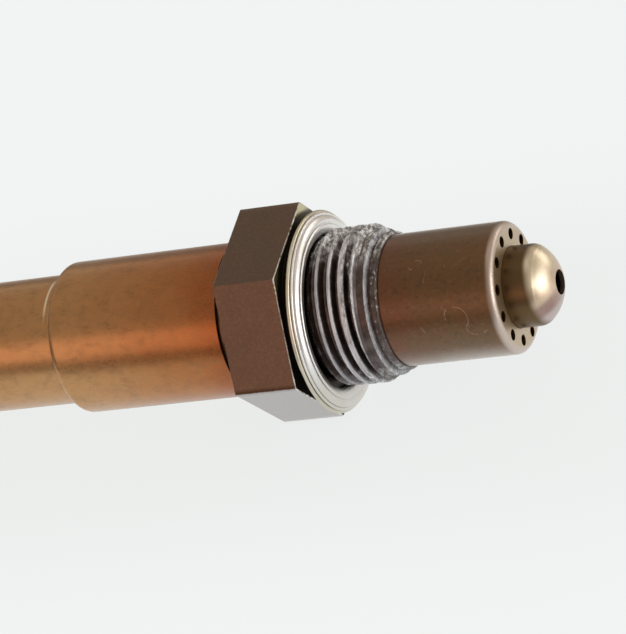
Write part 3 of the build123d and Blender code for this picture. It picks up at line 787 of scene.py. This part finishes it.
# ------------------------------------------------------------------ thread
def cut_thread(w, want, x, turn, fine):
    """The radius that the thread's own cut leaves, and the radius of its root."""
    # half widths as shares of the pitch: the crests nearest the front are worn wider
    new_crest, worn_crest, foot, wobble = 0.075, 0.20, 0.41, 0.12
    shift = w.plus(x, w.times(fine, wobble))
    phase = w.math("FRACT", w.minus(w.math("DIVIDE", shift, want["Pitch"]), turn))
    flat = w.ramp(x, 2.4, 4.2, new_crest, worn_crest)
    ridge = w.line(w.gap(phase, 0.5), foot, flat)
    root = w.minus(want["Crest Radius"], want["Depth"])
    return w.plus(root, w.times(ridge, want["Depth"])), root


def turned_blank(w, want, x, cut):
    """What the blank leaves, from the neck to the plain land, and the cut within it."""
    run_in = w.line(x, 0.05, want["Full Start"], want["Neck Radius"], want["Crest Radius"])
    land_start = w.plus(want["Full End"], 0.35)
    land = w.line(x, want["Full End"], land_start, want["Crest Radius"], want["Land Radius"])
    blank = w.smaller(run_in, land)
    fade = w.ramp(x, w.plus(land_start, 0.25), w.minus(land_start, 0.15))
    return blank, w.smaller(blank, w.mix(fade, want["Crest Radius"], cut))


def rolled_lip(w, want, x, fine, coarse):
    """The lip's radius, where it starts, and a mask of it."""
    groove_depth, round_length, torn_edge = 0.45, 0.35, 0.25
    start = w.plus(want["Land End"], w.times(fine, torn_edge))
    lip = w.plus(want["Lip Radius"], w.times(coarse, 0.22))
    lip = w.plus(lip, w.times(fine, 0.16))
    groove_start, groove_end = w.plus(want["Land End"], 0.20), w.plus(want["Land End"], 0.55)
    lip = w.minus(lip, w.ramp(x, groove_start, groove_end, groove_depth, 0.0))
    lip = w.minus(lip, w.ramp(x, w.minus(want["End"], round_length), want["End"], 0.0, LIP_ROUND))
    return lip, start, w.ramp(x, w.minus(start, 0.05), w.plus(start, 0.05))


def burred(w, want, shape, root, x, lip_start, on_lip, fine, scored, dragged):
    """The shape with burrs on its crests and its lip, and a mask of those bright places."""
    crest = w.ramp(w.minus(shape, root), w.times(want["Depth"], 0.70), w.times(want["Depth"], 0.97))
    specks = w.times(w.ramp(fine, 0.09, 0.20), 0.8)
    crest = w.larger(crest, w.times(on_lip, specks))
    crest = w.larger(crest, w.ramp(w.gap(x, lip_start), 0.14, 0.02))
    rough = w.plus(w.times(fine, 0.35), w.times(scored, 0.65))
    ragged = w.times(rough, w.times(want["Burrs"], w.plus(1.6, w.times(dragged, 4.0))))
    shape = w.plus(shape, w.times(ragged, w.plus(0.35, crest)))
    return w.smaller(shape, w.plus(want["Crest Radius"], 0.10)), crest


def pasted(w, want, shape, blank, root, x, crest, spot, fine, coarse, dragged):
    """Paste on the front crests, and in the grooves where the thread was dragged."""
    patch = w.plus(w.noise(spot, 0.22, 4.0, 0.6), w.times(fine, 0.30))
    patch = w.plus(patch, w.times(dragged, 0.24))
    filled = w.ramp(patch, 0.62, 0.82)
    fill = w.times(filled, w.times(want["Paste"], want["Depth"]))
    level = w.plus(w.plus(w.minus(root, 0.06), fill), w.times(coarse, 0.35))
    level = w.smaller(level, w.minus(blank, 0.05))
    level = w.times(level, w.times(w.ramp(x, 0.3, 0.8), w.ramp(x, 6.8, 6.0)))
    paste = w.times(w.ramp(w.minus(level, shape), -0.08, 0.02), filled)
    shape = w.math("SMOOTH_MAX", shape, level, 0.08)
    front = w.times(w.ramp(x, 3.9, 4.5), w.ramp(x, 7.2, 6.6))
    smear = w.times(w.times(crest, front), w.ramp(patch, 0.44, 0.60))
    paste = w.larger(paste, w.times(smear, 0.75))
    return shape, w.larger(paste, w.times(dragged, w.ramp(patch, 0.55, 0.75)))


def inner_wall(w, want, px, side, rise):
    """The wall inside: four stations from the lip's end back to the neck's end."""
    grid = w.put("GeometryNodeMeshGrid", {"Size X": 3.0, "Size Y": 1.0, "Vertices X": 4,
                                          "Vertices Y": want["Columns"]})
    station = w.plus(px, 1.5)
    x = w.line(station, 1.0, 2.0, want["End"], want["Start"])
    radius = w.line(station, 0.0, 1.0, w.minus(want["Lip Radius"], LIP_ROUND), want["Bore Radius"])
    radius = w.mix(w.line(station, 2.0, 3.0), radius, want["Neck Radius"])
    point = w.merge(x, w.times(radius, side), w.times(radius, rise))
    return w.put("GeometryNodeSetPosition", {"Geometry": grid["Mesh"], "Position": point})[0]


def thread_tree():
    """Geometry nodes for a threaded tube, in millimetres: a grid wound round the axis by a rule."""
    tree = bpy.data.node_groups.new("Threaded tube", "GeometryNodeTree")
    tree.interface.new_socket(name="Geometry", in_out="OUTPUT", socket_type="NodeSocketGeometry")
    wants = {
        "Stations": 190, "Columns": 300, "Start": -0.2, "Full Start": 0.45, "Full End": 5.60,
        "Land End": 6.90, "Land Radius": 8.36, "End": 8.20, "Crest Radius": 9.0, "Depth": 0.9,
        "Pitch": 1.5, "Neck Radius": 8.3, "Lip Radius": 7.9, "Bore Radius": 7.52, "Burrs": 0.05,
        "Paste": 0.5, "Seed": 3.0,
    }
    for label, value in wants.items():
        socket = tree.interface.new_socket(name=label, in_out="INPUT", socket_type=socket_kind(value))
        socket.default_value = value
    tree.interface.new_socket(name="Material", in_out="INPUT", socket_type="NodeSocketMaterial")
    w = Wiring(tree)
    want = w.add("NodeGroupInput").outputs
    given = w.add("NodeGroupOutput").inputs

    # a unit grid: its X runs along the tube and its Y once round it
    grid = w.put("GeometryNodeMeshGrid", {"Size X": 1.0, "Size Y": 1.0,
                                          "Vertices X": want["Stations"],
                                          "Vertices Y": want["Columns"]})
    px, py = w.split(w.put("GeometryNodeInputPosition")[0])[:2]
    share, turn = w.plus(px, 0.5), w.plus(py, 0.5)
    angle = w.times(turn, 2 * pi)
    side, rise = w.math("COSINE", angle), w.math("SINE", angle)
    x = w.line(share, 0.0, 1.0, want["Start"], want["End"])

    # noise that closes on itself round the tube
    noise_radius = 9.0
    spot = w.merge(x, w.times(side, noise_radius), w.times(rise, noise_radius))
    spot = w.vector("ADD", spot, w.merge(want["Seed"], 0.0, 0.0))
    fine = w.centred_noise(spot, 2.6, 3.0, 0.7)
    coarse = w.centred_noise(spot, 0.8, 3.0, 0.6)
    scored = w.minus(w.streaky(spot, (5.0, 0.7, 0.7), 3.0, 0.7), 0.5)
    # the top and the underside were dragged through the boss: more burrs and paste there
    dragged = w.plus(w.times(side, 0.60), w.times(rise, 0.80))
    dragged = w.larger(w.ramp(dragged, 0.40, 0.95), w.ramp(dragged, -0.55, -1.0, 0.0, 0.6))

    cut, root = cut_thread(w, want, x, turn, fine)
    blank, shape = turned_blank(w, want, x, cut)
    lip, lip_start, on_lip = rolled_lip(w, want, x, fine, coarse)
    shape = w.mix(on_lip, shape, lip)
    shape = w.mix(w.ramp(x, 0.0, 0.12), want["Neck Radius"], shape)
    shape, crest = burred(w, want, shape, root, x, lip_start, on_lip, fine, scored, dragged)
    shape, paste = pasted(w, want, shape, blank, root, x, crest, spot, fine, coarse, dragged)

    # the ends keep their plain circles, so that the inner wall joins them
    free = w.times(w.ramp(share, 0.0, 0.02), w.ramp(share, 1.0, 0.985))
    plain = w.line(share, 0.0, 1.0, want["Neck Radius"], w.minus(want["Lip Radius"], LIP_ROUND))
    radius = w.mix(free, plain, shape)
    point = w.merge(x, w.times(radius, side), w.times(radius, rise))
    geometry = grid["Mesh"]
    for label, value in (("crest", crest), ("paste", paste)):
        geometry = w.put("GeometryNodeStoreNamedAttribute",
                         {"Geometry": geometry, "Name": label, "Value": value},
                         data_type="FLOAT", domain="POINT")[0]
    outer = w.put("GeometryNodeSetPosition", {"Geometry": geometry, "Position": point})[0]

    join = w.add("GeometryNodeJoinGeometry")
    for wall in (inner_wall(w, want, px, side, rise), outer):
        tree.links.new(wall, join.inputs[0])
    welded = w.put("GeometryNodeMergeByDistance", {"Geometry": join.outputs[0], "Distance": 0.001})[0]
    scaled = w.put("GeometryNodeTransform", {"Geometry": welded, "Scale": (MM, MM, MM)})[0]
    real = w.put("GeometryNodeRealizeInstances", {"Geometry": scaled})[0]
    painted = w.put("GeometryNodeSetMaterial", {"Geometry": real, "Material": want["Material"]})[0]
    w.feed(given["Geometry"], painted)
    return tree


def grown_mesh(name, tree, values):
    """Evaluates a geometry tree with the given inputs and returns a plain closed mesh."""
    host = bpy.data.objects.new(name, bpy.data.meshes.new(name + "_seed"))
    bpy.context.scene.collection.objects.link(host)
    modifier = host.modifiers.new("Rule", "NODES")
    modifier.node_group = tree
    for socket in tree.interface.items_tree:
        if socket.in_out == "INPUT" and socket.name in values:
            modifier[socket.identifier] = values[socket.name]
    graph = bpy.context.evaluated_depsgraph_get()
    mesh = bpy.data.meshes.new_from_object(host.evaluated_get(graph), depsgraph=graph,
                                           preserve_all_data_layers=True)
    host.modifiers.remove(modifier)
    bpy.data.objects.remove(host)
    mesh.name = name
    if not mesh.polygons:
        raise RuntimeError(f"the geometry tree made nothing for {name}")
    work = bmesh.new()
    work.from_mesh(mesh)
    bmesh.ops.remove_doubles(work, verts=work.verts, dist=1e-6)
    bmesh.ops.recalc_face_normals(work, faces=work.faces)
    work.to_mesh(mesh)
    work.free()
    return mesh


# ------------------------------------------------------------------ stage
def camera_object():
    """A long lens above and in front of the sensor, rolled so that it runs across the frame."""
    right = Vector((0.90254571, 0.2315206, -0.36305573))
    up = Vector((0.10426937, 0.70054587, 0.70594857))
    back = Vector((0.41777882, -0.67500644, 0.60813416))
    stand = Vector((0.16761, -0.27676, 0.24837))
    sensor_mm, focal_pixels, frame_pixels = 36.0, 3587.5, 634.0
    data = bpy.data.cameras.new("camera")
    data.sensor_width = sensor_mm
    data.lens = sensor_mm * focal_pixels / frame_pixels
    data.clip_start, data.clip_end = 0.01, 20.0
    camera = bpy.data.objects.new("camera", data)
    place = Matrix((right, up, back)).transposed().to_4x4()
    place.translation = stand
    camera.matrix_world = place
    bpy.context.scene.collection.objects.link(camera)
    return camera


def soft_lamp(name, direction, distance, width, height, radiance, colour):
    """An area lamp that faces the sensor, with its brightness given as it shows in a mirror."""
    data = bpy.data.lights.new(name, "AREA")
    data.shape = "RECTANGLE"
    data.size, data.size_y = width, height
    data.color = colour
    data.energy = radiance * pi * data.size * data.size_y
    lamp = bpy.data.objects.new(name, data)
    away = Vector(direction).normalized()
    lamp.matrix_world = (Matrix.Translation(away * distance)
                         @ away.to_track_quat("Z", "Y").to_matrix().to_4x4())
    lamp.visible_camera = False
    bpy.context.scene.collection.objects.link(lamp)


def lamps():
    """The soft boxes, the cards and the strip round the sensor."""
    white, warm_white, cream = (1.0, 1.0, 1.0), (1.0, 0.98, 0.95), (1.0, 0.96, 0.88)
    amber, rose = (1.0, 0.92, 0.75), (1.0, 0.60, 0.50)
    # each lamp: its name, direction, distance, width, height, brightness and colour
    for lamp in (
            ("front soft box", (0.99, -0.08, 0.05), 0.35, 0.18, 0.18, 3.7, white),
            ("front card", (0.92, 0.37, 0.14), 0.38, 0.11, 0.12, 1.7, warm_white),
            ("side card", (0.61, 0.79, 0.09), 0.40, 0.20, 0.12, 2.2, cream),
            ("warm card", (-0.418, -0.84, 0.36), 0.35, 0.34, 0.17, 0.72, rose),
            ("back strip", (-0.30, 0.92, 0.257), 0.45, 0.6, 0.035, 0.5, amber),
            ("top soft box", (0.1, 0.25, 1.0), 0.6, 0.35, 0.35, 0.6, white)):
        soft_lamp(*lamp)


def board_material(settings):
    """Pale floor that shows its own colour, with a share of the shadow."""
    middle_x, half_length = -15 * MM, 40 * MM
    shadow_start, shadow_end = 12 * MM, 40 * MM
    material = bpy.data.materials.new("Pale floor")
    material.use_nodes = True
    w = Wiring(material.node_tree)
    material.node_tree.nodes.clear()
    colour = rgba(settings.floor_colour)
    rays = w.put("ShaderNodeLightPath")
    mirrored = w.larger(rays["Is Glossy Ray"], rays["Is Transmission Ray"])
    x, y = w.split(w.add("ShaderNodeTexCoord").outputs["Object"])[:2]
    beside = w.larger(w.minus(w.gap(x, middle_x), half_length), 0.0)
    share = w.ramp(w.diagonal(beside, y), shadow_start, shadow_end, settings.shadow, 0.0)
    plain = w.larger(mirrored, w.times(rays["Is Camera Ray"], w.minus(1.0, share)))
    matt = w.put("ShaderNodeBsdfDiffuse", {"Color": colour})[0]
    glow = w.put("ShaderNodeEmission", {"Color": colour, "Strength": 1.0})[0]
    w.put("ShaderNodeOutputMaterial", {"Surface": w.put("ShaderNodeMixShader", (plain, matt, glow))[0]})
    return material


def floor_board(settings):
    """The pale floor just under the sensor."""
    left, right, near, far = -100, 65, -75, 45
    floor_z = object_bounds()[0].z - 0.01 * MM
    work = bmesh.new()
    corners = [(left, near), (right, near), (right, far), (left, far)]
    work.faces.new([work.verts.new((x * MM, y * MM, floor_z)) for x, y in corners])
    mesh = bpy.data.meshes.new("floor")
    work.to_mesh(mesh)
    work.free()
    mesh.materials.append(board_material(settings))
    floor = bpy.data.objects.new("floor", mesh)
    bpy.context.scene.collection.objects.link(floor)
    floor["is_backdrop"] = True


def studio_room(settings):
    """The room's light: darker below and in a band at the horizon, and plain to the camera."""
    world = bpy.data.worlds.new("Room")
    world.use_nodes = True
    bpy.context.scene.world = world
    w = Wiring(world.node_tree)
    world.node_tree.nodes.clear()
    rays = w.put("ShaderNodeLightPath")
    height = w.split(w.add("ShaderNodeTexCoord").outputs["Generated"])[2]
    below, horizon = (tuple(share * c for c in settings.room) for share in (0.8, 0.42))
    lit = w.blend(w.ramp(height, -0.12, 0.02), below, settings.room)
    lit = w.blend(w.ramp(w.math("ABSOLUTE", height), 0.20, 0.06), lit, horizon)
    plain = w.put("ShaderNodeBackground", {"Color": lit, "Strength": 1.0})[0]
    white = w.put("ShaderNodeBackground", {"Color": rgba(settings.floor_colour), "Strength": 1.0})[0]
    mixed = w.put("ShaderNodeMixShader", (rays["Is Camera Ray"], plain, white))[0]
    w.put("ShaderNodeOutputWorld", {"Surface": mixed})


# ------------------------------------------------------------------ operators
class SENSOR_OT_shell(bpy.types.Operator):
    """Build the hexagon and the threaded front of the shell"""

    bl_idname = "sensor.shell"
    bl_label = "Hexagon and Thread"

    def execute(self, context):
        sizes, colours = context.scene.sensor_sizes, context.scene.sensor_colours
        mesh = hexagon_mesh(sizes)
        mesh.materials.append(hexagon_finish(colours))
        add_piece("shell_hexagon", mesh, "shell_steel", "hex_shell")
        mesh = grown_mesh("shell_thread", thread_tree(), {
            "Crest Radius": sizes.thread_diameter / 2 / MM,
            "Depth": sizes.thread_depth / MM,
            "Pitch": sizes.pitch / MM,
            "Neck Radius": sizes.neck_diameter / 2 / MM,
            "Burrs": sizes.burrs / MM,
            "Paste": sizes.paste,
            "Material": thread_finish(),
        })
        smooth_mesh(mesh, 50.0)
        add_piece("shell_thread", mesh, "shell_steel", "hex_shell")
        return {"FINISHED"}


class SENSOR_OT_ring(bpy.types.Operator):
    """Build the folded sealing ring"""

    bl_idname = "sensor.ring"
    bl_label = "Sealing Ring"

    def execute(self, context):
        mesh = ring_mesh(context.scene.sensor_sizes)
        mesh.materials.append(ring_finish(context.scene.sensor_colours))
        add_piece("folded_ring", mesh, "ring_steel", "sealing_ring")
        return {"FINISHED"}


class SENSOR_OT_metals(bpy.types.Operator):
    """Finish the sleeve and the protection tubes"""

    bl_idname = "sensor.metals"
    bl_label = "Sleeve and Tubes"

    def execute(self, context):
        colours = context.scene.sensor_colours
        sleeve_finish(colours)
        tube_finish(colours)
        dome_finish(colours)
        return {"FINISHED"}


class SENSOR_OT_inside(bpy.types.Operator):
    """Finish the ceramics, contacts, spring and seals inside"""

    bl_idname = "sensor.inside"
    bl_label = "Inner Pieces"

    def execute(self, context):
        ceramics = ("front_insulator", "rear_insulator", "contact_holder_upper", "contact_holder_lower")
        contacts = [f"contact_{n}" for n in range(1, 6)]
        plain_finish("Alumina", ceramics, (0.70, 0.68, 0.64), (0.82, 0.80, 0.76), rough=0.50)
        plain_finish("Zirconia", ["sensor_element"], (0.60, 0.57, 0.52), (0.74, 0.71, 0.66), rough=0.35)
        plain_finish("Pressed powder", ["seal_pack"], (0.50, 0.51, 0.50), (0.66, 0.66, 0.64),
                     rough=0.80, per_mm=6.0, depth=0.03)
        plain_finish("Spring steel", ["disc_spring", "clamp_spring"], (0.42, 0.41, 0.40),
                     (0.56, 0.55, 0.54), rough=0.28, metallic=1.0, depth=0.003)
        plain_finish("Contact nickel", contacts, (0.58, 0.55, 0.49), (0.70, 0.67, 0.61),
                     rough=0.22, metallic=1.0, depth=0.003)
        plain_finish("White fluoropolymer", ["wire_guide"], (0.76, 0.76, 0.75), (0.85, 0.85, 0.84),
                     rough=0.42)
        return {"FINISHED"}


class SENSOR_OT_grommet(bpy.types.Operator):
    """Finish the rubber wire grommet"""

    bl_idname = "sensor.grommet"
    bl_label = "Grommet"

    def execute(self, context):
        rubber = tuple(context.scene.sensor_colours.rubber)
        pale_rubber = tuple(2.0 * c for c in rubber)
        plain_finish("Heat-proof rubber", ["grommet"], rubber, pale_rubber, rough=0.55, per_mm=4.0,
                     depth=0.02)
        return {"FINISHED"}


class SENSOR_OT_stage(bpy.types.Operator):
    """Set the floor, the lamps and the camera"""

    bl_idname = "sensor.stage"
    bl_label = "Stage"

    def execute(self, context):
        settings = context.scene.sensor_stage
        floor_board(settings)
        studio_room(settings)
        lamps()
        context.scene.camera = camera_object()
        context.scene.view_settings.view_transform = "Standard"
        return {"FINISHED"}


class SENSOR_PT_panel(bpy.types.Panel):
    """The sensor's settings and steps"""

    bl_idname = "SENSOR_PT_panel"
    bl_label = "Oxygen Sensor"
    bl_space_type = "VIEW_3D"
    bl_region_type = "UI"
    bl_category = "Oxygen Sensor"

    def draw(self, context):
        layout = self.layout
        for group in SETTINGS:
            settings = getattr(context.scene, group)
            column = layout.box().column()
            for name in type(settings).__annotations__:
                column.prop(settings, name)
        for step in STEPS:
            layout.operator(step.bl_idname)


STEPS = (SENSOR_OT_shell, SENSOR_OT_ring, SENSOR_OT_metals, SENSOR_OT_inside, SENSOR_OT_grommet,
         SENSOR_OT_stage)
CLASSES = (ShellSizes, FinishColours, StageSettings, *STEPS, SENSOR_PT_panel)
SETTINGS = {"sensor_sizes": ShellSizes, "sensor_colours": FinishColours, "sensor_stage": StageSettings}


def register():
    for item in CLASSES:
        bpy.utils.register_class(item)
    for name, kind in SETTINGS.items():
        setattr(bpy.types.Scene, name, bpy.props.PointerProperty(type=kind))


def unregister():
    for name in SETTINGS:
        delattr(bpy.types.Scene, name)
    for item in reversed(CLASSES):
        bpy.utils.unregister_class(item)


def main():
    register()
    bpy.ops.sensor.shell()
    bpy.ops.sensor.ring()
    bpy.ops.sensor.metals()
    bpy.ops.sensor.inside()
    bpy.ops.sensor.grommet()
    bpy.ops.sensor.stage()


if __name__ == "__main__":
    main()
